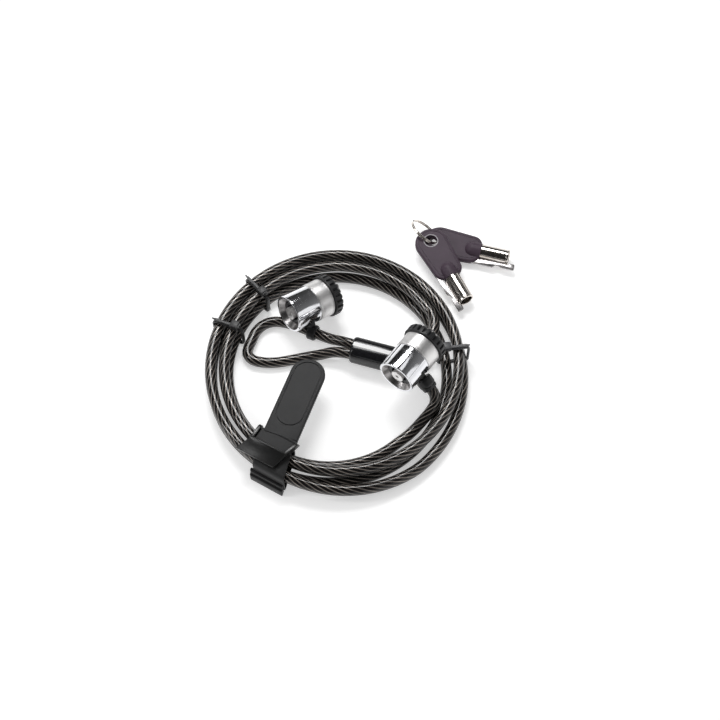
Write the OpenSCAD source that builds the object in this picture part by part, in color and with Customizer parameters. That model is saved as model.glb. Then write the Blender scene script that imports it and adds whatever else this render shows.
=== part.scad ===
// Twin head cable lock for portable computers: a coiled steel cable in a smoke vinyl
// jacket, a crimped loop, two T bar lock heads, two tubular keys, three cable ties and a
// rubber storage strap. Millimetres, +Z up, origin on the desk at the middle of the loose
// pieces that lie on it.

/* [Cable] */
// Diameter of the jacketed cable
cable_d = 5.5; // [4.5:0.1:6]
// Clear space between neighbouring turns of the low layer
turn_gap = 2.7; // [2.5:0.1:2.9]
// Clear space between the two layers
layer_gap = 0.5; // [0.42:0.02:0.7]
// Centreline radius where the coil starts, inside on the low layer
coil_r = 50.3; // [50:0.1:50.6]
// Centreline radius where it ends, inside on the high layer
coil_end_r = 54.5; // [54.1:0.2:54.7]
// Turns of cable in the coil
coil_turns = 3.75; // [3.75:1:4.75]
// Turns of it on the low layer
low_turns = 1.995; // [1.98:0.005:2.01]
// Length over width of the coil
coil_oval = 1.035; // [1.02:0.005:1.04]
// Direction in which the coil starts, seen from above
coil_start_az = -52; // [-53:0.5:-51]
// Middle of the low layer, and the way from it to the middle of the high layer
coil_at = [-16.7, -13.2];
high_shift = [2.6, 2.9];

/* [Lock head] */
// Diameter of the chrome barrel
barrel_d = 19.6; // [18.6:0.2:20.6]
// Length of the chrome barrel
barrel_l = 14; // [13.6:0.2:15]
// How far the satin collar stands out over the barrel
collar_over = 0.2; // [0:0.1:0.4]
// Length of the satin collar
collar_l = 8.4; // [8:0.2:10]
// How far the ribbed grip ring stands out over the barrel
grip_over = 1.3; // [1:0.1:1.5]
// Length of the grip ring
grip_l = 5; // [4.4:0.2:6]
// Ribs round the grip ring
grip_ribs = 22; // [16:1:26]
// Diameter of the turning key core
core_d = 12.2; // [11.8:0.2:12.6]
// Clear space round a turning piece
turn_clear = 0.3; // [0.25:0.05:0.4]

/* [Key] */
// Outside diameter of the tubular key
key_tube_d = 8.4; // [8:0.1:8.8]
// Wall of the tubular key
key_tube_wall = 0.85; // [0.6:0.05:1]
// Length of tube outside the bow
key_tube_l = 15.5; // [13:0.5:16]
// Thickness of the key's bow
bow_t = 3.4; // [3:0.1:3.6]
// Radius of the bow's round end
bow_r = 9; // [8.4:0.2:9.4]
// Radius of the hole for the split ring
bow_hole_r = 3.4; // [3.2:0.1:3.6]

/* [Slot bar] */
// Length of the T bar's cross piece
tee_l = 6.6; // [6:0.1:6.8]
// Width of the cross piece and diameter of the neck
tee_w = 2.8; // [2.4:0.1:3]
// Thickness of the cross piece
tee_t = 2; // [1.6:0.1:2.4]
// Room for the computer's wall between nose and cross piece
slot_wall_room = 2; // [1.4:0.1:2.6]

/* [Crimp sleeve] */
// Length of the sleeve
sleeve_l = 24; // [23:0.5:26]
// Width of the sleeve
sleeve_w = 12.6; // [12.2:0.2:13.4]
// Length of the metal crimp inside
crimp_l = 14; // [12:0.5:15]

/* [Ties and strap] */
// Width of a cable tie's strap
tie_w = 2.6; // [2.2:0.1:3.6]
// Thickness of what passes under the coil
wrap_t = 1; // [0.8:0.1:1.4]
// Width of the rubber strap
strap_w = 17.5; // [16:0.5:20]
// Thickness of the strap's tongue
tongue_t = 2.6; // [2:0.1:3]
// Length of the free tongue
tongue_l = 44; // [40:1:46]

/* [Hidden] */

$fn = 64;
nothing = 0.01;

// Colours
jacket = "#17141a";
chrome = "#d6d8dc";
satin = "#b9bbbf";
steel = "#9a9ca1";
black = "#1c1b1d";
bow_grey = "#4a4450";
tie_grey = "#3b3b3d";
plain_grey = "#7c7c80";

// ---------------------------------------------------------------- cable

cable_r = cable_d / 2;
pitch = cable_d + turn_gap;
under_gap = 0.1;
low_z = wrap_t + under_gap + cable_r;
high_z = low_z + cable_d + layer_gap;
bundle_top = high_z + cable_r;
rings_per_turn = 24;
coil_rings = floor(coil_turns * rings_per_turn + 0.5);
coil_sides = 6;
coil_sweep = 360 * coil_turns;
low_sweep = 360 * low_turns;
outer_r = coil_r + pitch * low_turns;
rise_sweep = 70;

// Radius and climb after a sweep of a degrees: out on the low layer, then up over rise_sweep,
// and in on the high layer
function coil_radius(a) = a < low_sweep ? coil_r + pitch * a / 360
    : coil_end_r + (outer_r - coil_end_r) * (coil_sweep - a) / (coil_sweep - low_sweep);
function climb(a) = min(1, max(0, (a - low_sweep) / rise_sweep));
function coil_point(a) = let (r = coil_radius(a), az = coil_start_az - a, k = climb(a)) [
    coil_at.x + k * high_shift.x + r * cos(az),
    coil_at.y + k * high_shift.y + coil_oval * r * sin(az),
    low_z + (high_z - low_z) * k
];
function heading(az) = unit([sin(az), -coil_oval * cos(az), 0]);

coil_end_az = coil_start_az - coil_sweep;
coil_first = coil_point(0);
coil_last = coil_point(coil_sweep);
coil_way_in = coil_first - cable_d * heading(coil_start_az);
coil_way_out = coil_last + cable_d * heading(coil_end_az);
coil_path = concat(
    [coil_way_in],
    [for (i = [0 : coil_rings]) coil_point(coil_sweep * i / coil_rings)],
    [coil_way_out]
);

function unit(v) = v / norm(v);
function tangent(path, i) = unit(path[min(i + 1, len(path) - 1)] - path[max(i - 1, 0)]);
function ring_at(p, t, r, sides) =
    let (side = unit(cross(t, [0, 0, 1])), up = cross(side, t))
    [for (k = [0 : sides - 1])
        let (a = 90 + 360 * k / sides) p + r * (cos(a) * side + sin(a) * up)];

module tube(path, r, sides) {
    n = len(path);
    points = [for (i = [0 : n - 1]) each ring_at(path[i], tangent(path, i), r, sides)];
    walls = [for (i = [0 : n - 2], k = [0 : sides - 1])
        let (a = i * sides + k, b = i * sides + (k + 1) % sides)
        each [[a, a + sides, b], [b, a + sides, b + sides]]];
    start_cap = [for (k = [1 : sides - 2]) [0, k, k + 1]];
    last = (n - 1) * sides;
    end_cap = [for (k = [1 : sides - 2]) [last, last + k + 1, last + k]];
    polyhedron(points, concat(walls, start_cap, end_cap), convexity = 10);
}

// Least clear space between points of the coil that are more than half a turn apart
coil_gap = min([for (i = [0 : len(coil_path) - 1], j = [i + rings_per_turn / 2 : 1 : len(coil_path) - 1])
    norm(coil_path[i] - coil_path[j])]) - cable_d;
echo(least_gap_between_turns = coil_gap);

// Crimp sleeve: its middle, its direction, and a point in its own axes
sleeve_at = [4, -5.8, 7.6];
sleeve_az = -17;
leg_gap = cable_d + 0.4;
bore_clear = 0.15;
function sleeve_point(x, y) = sleeve_at
    + [x * cos(sleeve_az) - y * sin(sleeve_az), x * sin(sleeve_az) + y * cos(sleeve_az), 0];

lead_route = [
    [33.6, -31.4, 11.8], [33.6, -34.6, 9.6], [31.2, -38.2, 7.6], [27.6, -42, 5.7], [23.9, -45.9, 4.4]
];
tail_route = [
    [35, 12, 9.7], [34.2, 6.8, 9.4], [32.6, 1.4, 9.1], [30.4, -3.2, 8.6],
    [27.4, -7, 8.1], [23.8, -9.5, 7.7], [20, -10.6, 7.6]
];
loop_route = [
    [-12.8, 3, 6.6], [-18.4, 5.3, 5.1], [-27.5, 9.5, 4.8], [-36.6, 13.7, 4.4],
    [-42, 15.9, 3.6], [-47.6, 16.9, 3], [-53, 15.2, 2.8], [-57, 10.8, 2.8],
    [-58.9, 5.6, 2.8], [-60.4, 1.4, 2.8], [-60.7, -2.4, 2.8], [-57.8, -5.9, 2.8],
    [-52, -7.4, 2.8], [-46, -7.4, 2.8], [-39, -6.2, 2.8], [-31, -4.6, 3.2],
    [-23.7, -3.7, 4.2], [-16.6, -3.3, 6.2]
];
// Straight start or end, so that two lengths meet on one flat face
way_straight = 2;
lead_end = coil_way_in - way_straight * heading(coil_start_az);
tail_start = coil_way_out + way_straight * heading(coil_end_az);

module cable_coil() color(jacket) tube(coil_path, cable_r, coil_sides);

module cable_lead() color(jacket)
    tube(concat([boot_floor, boot_mouth], lead_route, [lead_end, coil_way_in]), cable_r, 8);

module cable_tail() color(jacket)
    tube(concat([coil_way_out, tail_start], tail_route,
                [sleeve_point(sleeve_l / 2, 0), sleeve_point(crimp_l / 2, 0)]), cable_r, 8);

module cable_loop() color(jacket)
    tube(concat([sleeve_point(-crimp_l / 2, leg_gap / 2), sleeve_point(-sleeve_l / 2 - 1, leg_gap / 2)],
                loop_route,
                [sleeve_point(-sleeve_l / 2 - 1, -leg_gap / 2), sleeve_point(-crimp_l / 2, -leg_gap / 2)]),
         cable_r, 8);

// ---------------------------------------------------------------- crimp sleeve

crimp_w = leg_gap + cable_d;
crimp_h = cable_d + 1.6;
sleeve_h = sleeve_w - 0.6;
sleeve_round = 2;

module on_sleeve() translate(sleeve_at) rotate([0, 0, sleeve_az]) children();

// Flat-sided oval bar along X
module oval_bar(l, w, h) rotate([90, 0, 90]) linear_extrude(l, center = true) {
    square([w - h, h], center = true);
    for (s = [-1, 1]) translate([s * (w - h) / 2, 0]) circle(d = h);
}

module crimp_sleeve() color(black) on_sleeve() difference() {
    hull() {
        oval_bar(sleeve_l - 2 * sleeve_round, sleeve_w, sleeve_h, $fn = 32);
        oval_bar(sleeve_l, sleeve_w - 2 * sleeve_round, sleeve_h - 2 * sleeve_round, $fn = 32);
    }
    oval_bar(crimp_l + nothing, crimp_w + nothing, crimp_h + nothing);
    for (s = [-1, 1]) translate([-sleeve_l, s * leg_gap / 2, 0]) rotate([0, 90, 0])
        cylinder(r = cable_r + bore_clear, h = sleeve_l);
    rotate([0, 90, 0]) cylinder(r = cable_r + bore_clear, h = sleeve_l);
}

module crimp_ferrule() color(steel) on_sleeve() oval_bar(crimp_l, crimp_w, crimp_h);

// ---------------------------------------------------------------- lock heads

// A head's own axes: +Z from the key face to the nose, +X towards the cable. Each head is
// placed by the point on its axis that lies level with the cable.
swivel_z = 10.4;
lug_w = 4.4;
fixed_at = [20.4, -19.9, 24.1];
fixed_tilt = 90;
fixed_az = 53.4;
fixed_roll = -54;
sliding_tilt = 101;
sliding_az = 37;
sliding_roll = -38.7;
eye_at = [-27.5, 9.5, 4.8];
eye_reach = barrel_d / 2 + 4.9;

// Directions of a head's own axes on the desk
function head_x(tilt, az, roll) =
    cos(roll) * [cos(tilt) * cos(az), cos(tilt) * sin(az), -sin(tilt)]
    + sin(roll) * [-sin(az), cos(az), 0];
function head_z(tilt, az) = [sin(tilt) * cos(az), sin(tilt) * sin(az), cos(tilt)];

fixed_x = head_x(fixed_tilt, fixed_az, fixed_roll);
fixed_z = head_z(fixed_tilt, fixed_az);
sliding_x = head_x(sliding_tilt, sliding_az, sliding_roll);
sliding_z = head_z(sliding_tilt, sliding_az);
sliding_at = eye_at - eye_reach * sliding_x;

boot_back = 3.2;
boot_front = 3.4;
boot_at = fixed_at + (barrel_d / 2 + boot_back + 1) * fixed_x;
boot_dir = unit([0.62, -0.6, -0.5]);
boot_floor = boot_at - 0.5 * boot_dir;
boot_mouth = boot_at + (boot_front + 0.8) * boot_dir;
leg_dir = unit(loop_route[3] - loop_route[1]);

module at_fixed() translate(fixed_at) rotate([0, fixed_tilt, fixed_az])
    rotate([0, 0, fixed_roll]) translate([0, 0, -swivel_z]) children();
module at_sliding() translate(sliding_at) rotate([0, sliding_tilt, sliding_az])
    rotate([0, 0, sliding_roll]) translate([0, 0, -swivel_z]) children();

// Turns +Z to a direction
module toward(v) rotate([0, acos(v.z / norm(v)), atan2(v.y, v.x)]) children();

barrel_r = barrel_d / 2;
collar_d = barrel_d + 2 * collar_over;
grip_d = barrel_d + 2 * grip_over;
rim_w = 1.5;
dish_z = 2.6;
core_bore_r = core_d / 2 + turn_clear;
well_r = barrel_r - 1.6;
well_z = 6.2;
edge = 0.3;
collar_end = barrel_l + collar_l;
grip_end = collar_end + grip_l;
nose_z = grip_end + 0.6;
nose_seat_z = collar_end + 2.6;
stub_r = collar_d / 2 - 1.4;
core_end = barrel_l + 0.4;
block_start = core_end + 0.3;
block_end = collar_end - 1.6;
clip_t = 0.6;
clip_z = block_end + 0.15;
clip_room = 0.9;
spindle_r = tee_w / 2 + 0.1;
neck_r = tee_w / 2;
tee_z = nose_z + slot_wall_room;
pin_circle_r = tee_l / 2 - 0.6;
slot_pin_r = 0.7;
window_half = 57;
window_low = swivel_z - lug_w / 2 - 0.4;
window_high = swivel_z + lug_w / 2 + 0.4;
post_r = key_tube_d / 2 - key_tube_wall - 0.1;
keyway_r = key_tube_d / 2 + 0.1;
keyway_end = 11;
pins = 7;
pin_r = 0.4;
pin_hole_r = pin_r + 0.1;
pin_circle = (post_r + keyway_r) / 2;
driver_l = 1.8;
spring_room = 3.6;
spring_wire_r = 0.09;
spring_turns = 3;
spring_steps = 8;

module barrel() color(chrome) difference() {
    rotate_extrude() polygon([
        [barrel_r - rim_w, edge], [barrel_r - rim_w + edge, 0], [barrel_r - edge, 0],
        [barrel_r, edge], [barrel_r, barrel_l - edge], [barrel_r - edge, barrel_l],
        [well_r, barrel_l], [well_r, well_z], [core_bore_r, well_z], [core_bore_r, dish_z]
    ]);
    // window in which the cable's lug swings round the barrel
    translate([0, 0, window_low]) rotate([0, 0, -window_half])
        rotate_extrude(angle = 2 * window_half)
            translate([well_r - 1, 0]) square([3, window_high - window_low]);
    // four index pits on the rim
    for (a = [45 : 90 : 315]) rotate([0, 0, a])
        translate([barrel_r - rim_w / 2, 0, -nothing]) cylinder(r = 0.35, h = 0.4);
}

module collar() color(satin) rotate_extrude() polygon([
    [core_bore_r, barrel_l - 0.8], [well_r - 0.05, barrel_l - 0.8], [well_r - 0.05, barrel_l],
    [collar_d / 2 - edge, barrel_l], [collar_d / 2, barrel_l + edge],
    [collar_d / 2, collar_end - edge], [collar_d / 2 - edge, collar_end],
    [stub_r, collar_end], [stub_r, nose_seat_z], [spindle_r + turn_clear, nose_seat_z],
    [spindle_r + turn_clear, block_end + clip_room], [core_bore_r, block_end + clip_room]
]);

module grip_ring() color(black) difference() {
    rotate_extrude() polygon([
        [stub_r + nothing, collar_end], [grip_d / 2 - edge, collar_end],
        [grip_d / 2, collar_end + edge], [grip_d / 2, grip_end - 1],
        [grip_d / 2 - 1, grip_end], [stub_r + nothing, grip_end]
    ]);
    for (i = [0 : grip_ribs - 1]) rotate([0, 0, 360 * (i + 0.5) / grip_ribs])
        translate([grip_d / 2 + 0.35, 0, collar_end + 0.9]) cylinder(r = 1, h = grip_l, $fn = 16);
}

module nose_plate() color(chrome) difference() {
    rotate_extrude() polygon([
        [spindle_r + turn_clear, nose_seat_z], [stub_r, nose_seat_z], [stub_r, nose_z - edge],
        [stub_r - edge, nose_z], [spindle_r + turn_clear, nose_z]
    ]);
    slot_pin_places() translate([0, 0, nose_z - 2]) cylinder(r = slot_pin_r, h = 3);
}

module slot_pin_places() for (s = [-1, 1]) translate([s * pin_circle_r, 0, 0]) children();

module slot_pins() color(steel) slot_pin_places()
    translate([0, 0, nose_z - 2]) cylinder(r = slot_pin_r, h = 2 + slot_wall_room - 0.4);

module key_core() color(chrome) difference() {
    union() {
        translate([0, 0, dish_z]) cylinder(d = core_d, h = core_end - dish_z);
        translate([0, 0, 0.9]) cylinder(r = post_r, h = dish_z);
    }
    translate([0, 0, dish_z - nothing]) difference() {
        cylinder(r = keyway_r, h = keyway_end - dish_z);
        cylinder(r = post_r, h = keyway_end);
    }
    translate([0, 0, 0.5]) cylinder(r = 0.9, h = 3);
    pin_places() translate([0, 0, keyway_end - 1]) cylinder(r = pin_hole_r, h = core_end, $fn = 24);
    translate([0, 0, spindle_seat]) cylinder(r = spindle_r, h = core_end);
    // notch that lets the key's lug in
    translate([0, keyway_r, dish_z - 1]) cylinder(r = 0.8, h = 4, $fn = 24);
}
spindle_seat = core_end - 1.8;

module pin_places() for (i = [0 : pins - 1]) rotate([0, 0, 90 + 360 * (i + 0.5) / pins])
    translate([pin_circle, 0, 0]) children();

module key_pins() color(steel) pin_places()
    translate([0, 0, keyway_end]) cylinder(r = pin_r, h = core_end - 0.1 - keyway_end, $fn = 24);

// Fixed block behind the core, with a blind hole for each driver pin and its spring
module pin_block() color(steel) difference() {
    translate([0, 0, block_start]) cylinder(r = core_bore_r - 0.05, h = block_end - block_start);
    cylinder(r = spindle_r + turn_clear, h = nose_z);
    pin_places() translate([0, 0, block_start - 1])
        cylinder(r = pin_hole_r, h = 1.1 + driver_l + spring_room, $fn = 24);
}

driver_z = block_start + 0.1;
spring_z = driver_z + driver_l + spring_wire_r + 0.05;
spring_l = spring_room - 3 * spring_wire_r - 0.1;
module driver_pins() color(chrome) pin_places()
    translate([0, 0, driver_z]) cylinder(r = pin_r, h = driver_l, $fn = 24);

spring_path = [for (i = [0 : spring_turns * spring_steps])
    let (a = 360 * i / spring_steps, r = pin_r - spring_wire_r)
    [r * cos(a), r * sin(a), spring_z + spring_l * i / (spring_turns * spring_steps)]];
module pin_springs() color(steel) pin_places() tube(spring_path, spring_wire_r, 4);

module retaining_clip() color(steel) translate([0, 0, clip_z]) rotate([0, 0, 20])
    rotate_extrude(angle = 320) translate([clip_groove_r, 0]) square([2, clip_t]);
clip_groove_r = spindle_r - 0.4;

module t_bar() color(steel) {
    difference() {
        translate([0, 0, spindle_seat]) cylinder(r = spindle_r, h = nose_z - spindle_seat);
        translate([0, 0, clip_z]) difference() {
            cylinder(r = 2 * spindle_r, h = clip_t);
            cylinder(r = clip_groove_r, h = clip_t);
        }
    }
    translate([0, 0, nose_z]) cylinder(r = neck_r, h = slot_wall_room);
    translate([0, 0, tee_z]) intersection() {
        translate([-tee_l / 2, -tee_w / 2, 0]) cube([tee_l, tee_w, tee_t]);
        cylinder(d = tee_l + 0.2, h = tee_t);
    }
}

// Ring that turns in the barrel, with the lug that comes out of its window
swivel_low = 6.6;
swivel_high = barrel_l - 1.1;
lug_y = 5;
module swivel_ring(reach) {
    translate([0, 0, swivel_low]) difference() {
        cylinder(r = well_r - turn_clear, h = swivel_high - swivel_low);
        translate([0, 0, -1]) cylinder(r = core_bore_r, h = swivel_high);
    }
    translate([core_bore_r + 0.2, -lug_y / 2, swivel_z - lug_w / 2])
        cube([reach - core_bore_r, lug_y, lug_w]);
}

boot_r = cable_r + 1.5;
module fixed_swivel() color(black) difference() {
    union() {
        at_fixed() swivel_ring(norm(boot_at - fixed_at));
        translate(boot_at - boot_back * boot_dir) toward(boot_dir)
            cylinder(r = boot_r, h = boot_back + boot_front);
    }
    translate(boot_floor) toward(boot_dir) cylinder(r = cable_r + bore_clear, h = 8);
}

eye_l = 5;
eye_r = cable_r + 1.9;
module sliding_swivel() color(black) difference() {
    union() {
        at_sliding() swivel_ring(eye_reach);
        translate(eye_at) toward(leg_dir) cylinder(r = eye_r, h = eye_l, center = true);
    }
    translate(eye_at) toward(leg_dir) cylinder(r = cable_r + 0.3, h = 3 * eye_l, center = true);
}

module fixed_barrel() at_fixed() barrel();
module fixed_collar() at_fixed() collar();
module fixed_grip_ring() at_fixed() grip_ring();
module fixed_nose_plate() at_fixed() nose_plate();
module fixed_slot_pins() at_fixed() slot_pins();
module fixed_key_core() at_fixed() key_core();
module fixed_key_pins() at_fixed() key_pins();
module fixed_pin_block() at_fixed() pin_block();
module fixed_driver_pins() at_fixed() driver_pins();
module fixed_pin_springs() at_fixed() pin_springs();
module fixed_retaining_clip() at_fixed() retaining_clip();
module fixed_t_bar() at_fixed() t_bar();

module sliding_barrel() at_sliding() barrel();
module sliding_collar() at_sliding() collar();
module sliding_grip_ring() at_sliding() grip_ring();
module sliding_nose_plate() at_sliding() nose_plate();
module sliding_slot_pins() at_sliding() slot_pins();
module sliding_key_core() at_sliding() key_core();
module sliding_key_pins() at_sliding() key_pins();
module sliding_pin_block() at_sliding() pin_block();
module sliding_driver_pins() at_sliding() driver_pins();
module sliding_pin_springs() at_sliding() pin_springs();
module sliding_retaining_clip() at_sliding() retaining_clip();
module sliding_t_bar() at_sliding() t_bar();

// ---------------------------------------------------------------- keys

// A key's own axes: origin in the middle of its ring hole, +X along the tube
boss_r = key_tube_d / 2 + 0.3;
bow_l = 24;
bow_end_r = 5;
bow_end_w = 15.6;
boss_x = 19.6;
tube_tip = bow_l + key_tube_l;
// Split ring, and from its middle the way to each key's ring hole
ring_at_mid = [31.9, 71.6, 6.84];
ring_lean = 43.7;
ring_az = 29.75;
split_ring_r = 8.59;
wire_r = 0.42;
key_1_out = [2.86, -7.58, 1.06];
key_1_turn = [3.27, 4.54, -63.3];
key_2_out = [6.63, -4.87, -2.71];
key_2_turn = [8.53, -1.41, -16.2];

module at_key(out, turn) translate(ring_at_mid + out) rotate(turn) children();

module bow_slab(inset, t) linear_extrude(t, center = true) hull() {
    translate([1.4, 0]) circle(r = bow_r - inset, $fn = 48);
    for (s = [-1, 1]) translate([bow_l - bow_end_r, s * (bow_end_w / 2 - bow_end_r)])
        circle(r = bow_end_r - inset, $fn = 32);
}

module key_bow() color(bow_grey) difference() {
    union() {
        hull() {
            bow_slab(0.9, bow_t);
            bow_slab(0, bow_t - 1.6);
        }
        intersection() {
            translate([boss_x, 0, 0]) sphere(r = boss_r);
            translate([boss_x - boss_r, -boss_r, -boss_r]) cube([bow_l - boss_x + boss_r, 2 * boss_r, 2 * boss_r]);
        }
    }
    cylinder(r = bow_hole_r, h = 2 * bow_t, center = true);
    translate([bow_l - 5, 0, 0]) rotate([0, 90, 0]) cylinder(d = key_tube_d + nothing, h = 2 * 5);
    translate([bow_l - 4, -blade_out, -blade_t / 2 - nothing])
        cube([8, blade_out - blade_in, blade_t + 2 * nothing]);
}

module key_tube() color(chrome) translate([bow_l - 5, 0, 0]) rotate([0, 90, 0]) difference() {
    cylinder(d = key_tube_d, h = key_tube_l + 5);
    translate([0, 0, 5]) cylinder(d = key_tube_d - 2 * key_tube_wall, h = key_tube_l + 5);
    // two notches cut in the rim
    for (a = [60, 250]) rotate([0, 0, a])
        translate([key_tube_d / 2, 0, key_tube_l + 5]) cylinder(r = 0.8, h = 2 * 1.6, center = true, $fn = 24);
}

blade_t = 1.2;
blade_in = key_tube_d / 2 + 0.2;
blade_out = 7.6;
module key_blade() color(satin) translate([0, 0, -blade_t / 2]) linear_extrude(blade_t) polygon([
    [bow_l - 4, -blade_in], [tube_tip + 0.6, -blade_in], [tube_tip + 0.6, 1 - blade_in],
    [tube_tip + 3.4, 1 - blade_in], [tube_tip + 4, 0.4 - blade_in], [tube_tip + 4, 0.8 - blade_out],
    [tube_tip - 3, 0.8 - blade_out], [tube_tip - 4.4, 1.6 - blade_out],
    [tube_tip - 6, 1.6 - blade_out], [tube_tip - 7.6, -blade_out], [bow_l - 4, -blade_out]
]);

module key_1_bow() at_key(key_1_out, key_1_turn) key_bow();
module key_1_tube() at_key(key_1_out, key_1_turn) key_tube();
module key_1_blade() at_key(key_1_out, key_1_turn) key_blade();
module key_2_bow() at_key(key_2_out, key_2_turn) key_bow();
module key_2_tube() at_key(key_2_out, key_2_turn) key_tube();
module key_2_blade() at_key(key_2_out, key_2_turn) key_blade();

// Two turns of wire side by side
module split_ring() color(steel) translate(ring_at_mid) rotate([0, ring_lean, ring_az])
    rotate_extrude($fn = 96) for (s = [-1, 1])
        translate([split_ring_r, s * (wire_r - 0.02)]) circle(r = wire_r, $fn = 24);

// ---------------------------------------------------------------- ties and strap

tie_az = [132, 158, 7.5];
wrap_gap = 0.3;
wrap_side = 1.1;

// How far out from the coil's middle its turns cross a strip of a given half width
function crossings(az, half) = [for (i = [0 : len(coil_path) - 2], t = [0 : 0.2 : 1])
    let (p = coil_path[i] + t * (coil_path[i + 1] - coil_path[i]), x = p.x - coil_at.x, y = p.y - coil_at.y,
         out = x * cos(az) + y * sin(az))
    if (out > 0 && abs(y * cos(az) - x * sin(az)) <= half) out];
function wrap_in(az, half) = min(crossings(az, half)) - cable_r - wrap_gap;
function wrap_out(az, half) = max(crossings(az, half)) + cable_r + wrap_gap;

// A strap's own axes: origin on the desk at the coil's middle, +X outwards
module at_wrap(az) translate([coil_at.x, coil_at.y, 0]) rotate([0, 0, az]) children();

// Rounded outline of what wraps the bundle, grown by the thicknesses of its sides and top
module wrap_outline(near, far, side, top, r) {
    low = side > 0 ? 0 : wrap_t;
    high = bundle_top + wrap_gap + top;
    translate([near - side + r, low + r]) square([far - near + 2 * side - 2 * r, high - low - 2 * r]);
    for (x = [near - side + r, far + side - r], y = [low + r, high - r]) translate([x, y]) circle(r = r);
    translate([near - side, low + r]) square([far - near + 2 * side, high - low - 2 * r]);
    translate([near - side + r, low]) square([far - near + 2 * side - 2 * r, high - low]);
}

module wrap_band(near, far, w, side, top) rotate([90, 0, 0]) linear_extrude(w, center = true)
    difference() {
        wrap_outline(near, far, side, top, 2.4);
        wrap_outline(near, far, 0, 0, 1.4);
    }

tie_half = tie_w / 2 + 1;
tie_head_w = 4.6;
tie_head_l = 4.2;
tie_head_h = 3.2;
tail_t = 0.9;
tail_lift = 0.5;
// One moulded tie: the strap round the bundle, its head on the inner shoulder, and the tail
// that lies out over the strap, past the bundle's outer edge by over
module cable_tie(az, over, shade) {
    near = wrap_in(az, tie_half);
    far = wrap_out(az, tie_half);
    x = near + 3.4;
    z = bundle_top + wrap_gap + wrap_side - nothing;
    color(shade) at_wrap(az) {
        wrap_band(near, far, tie_w, wrap_side, wrap_side);
        translate([x - tie_head_l / 2, -tie_head_w / 2, z]) cube([tie_head_l, tie_head_w, tie_head_h]);
        translate([x, -tie_w / 2 + 0.3, z + tail_lift])
            cube([far + over - x, tie_w - 0.6, tail_t]);
    }
}

module cable_tie_1() cable_tie(tie_az[0], 1.6, tie_grey);
module cable_tie_2() cable_tie(tie_az[1], 1.2, tie_grey);
module cable_tie_3() cable_tie(tie_az[2], 0.8, plain_grey);

strap_az = 240;
strap_half = strap_w / 2 + 0.5;
strap_near = wrap_in(strap_az, strap_half);
strap_far = wrap_out(strap_az, strap_half);
strap_top = bundle_top + wrap_gap + wrap_side;

// Band under and round the bundle, with a thick stepped end low on its outer side
keeper_w = strap_w + 3;
keeper_h = 7.4;
keeper_t = 2.6;
keeper_step = 1.2;
module strap_band() color(black) at_wrap(strap_az) difference() {
    union() {
        wrap_band(strap_near, strap_far, strap_w, wrap_side, wrap_side);
        translate([strap_far + wrap_side / 2, -keeper_w / 2, 0])
            cube([keeper_t + wrap_side / 2, keeper_w, keeper_h]);
    }
    translate([strap_far + wrap_side + keeper_t - keeper_step, -keeper_w, keeper_h - 2 * keeper_step])
        cube([2 * keeper_step, 2 * keeper_w, keeper_h]);
}

// Buckle: a plate that slopes down to the outside between two cheeks, on top of the band.
// Its own axes: origin on the band's top over the bundle's inner edge, +X outwards.
buckle_w = strap_w + 6.5;
cheek_t = 1.9;
crest_x = 2.6;
crest_z = tongue_t + 2.8;
plate_end = 15.7;
pocket_x = -3.5;
module at_buckle() at_wrap(strap_az) translate([strap_near, 0, strap_top]) children();
module buckle_part(w) rotate([90, 0, 0]) linear_extrude(w, center = true) children();

module strap_buckle() color(black) at_buckle() {
    buckle_part(buckle_w) polygon([
        [crest_x, 0], [crest_x - 1.6, crest_z - 1.7], [crest_x - 1.6, crest_z - 0.2],
        [crest_x, crest_z], [plate_end, 2], [plate_end, 1], [plate_end - 1.4, 0]
    ]);
    for (s = [-1, 1]) translate([0, s * (buckle_w - cheek_t) / 2, 0]) buckle_part(cheek_t) polygon([
        [pocket_x, 0], [pocket_x, crest_z - 2.8], [pocket_x + 1.4, crest_z - 0.8],
        [crest_x, crest_z], [plate_end, 2], [plate_end, 1], [plate_end - 1.4, 0]
    ]);
}

// Tongue: hinged across the pocket at its rounded root, skewed towards its tip. Its own axes:
// origin on the hinge, +X towards the tip.
hinge_x = -0.3;
hinge_lift = 0.8;
tongue_skew = 10;
border_w = 1.6;
groove_w = 0.8;
groove_start = 12;
module at_tongue() at_buckle() translate([hinge_x, 0, hinge_lift + tongue_t / 2]) children();

module tongue_outline() {
    r = strap_w / 2;
    translate([-r, -r]) square([tongue_l, 2 * r]);
    translate([tongue_l - r, 0]) circle(r = r);
}

module strap_tongue() color(black) at_tongue() {
    intersection() {
        rotate([0, 0, 180 + tongue_skew]) difference() {
            translate([0, 0, -tongue_t / 2]) linear_extrude(tongue_t) tongue_outline();
            translate([0, 0, tongue_t / 2 - 0.5]) linear_extrude(1) translate([groove_start, 0])
                difference() {
                    stadium(tongue_l - groove_start - strap_w / 2, strap_w / 2 - border_w);
                    stadium(tongue_l - groove_start - strap_w / 2, strap_w / 2 - border_w - groove_w);
                }
        }
        translate([-2 * tongue_l, -tongue_l, -tongue_t]) cube([2 * tongue_l, 2 * tongue_l, 2 * tongue_t]);
    }
    rotate([90, 0, 0]) cylinder(d = tongue_t, h = strap_w, center = true);
}

module stadium(l, r) {
    translate([0, -r]) square([l, 2 * r]);
    for (x = [0, l]) translate([x, 0]) circle(r = r);
}

// ---------------------------------------------------------------- assembly

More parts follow.
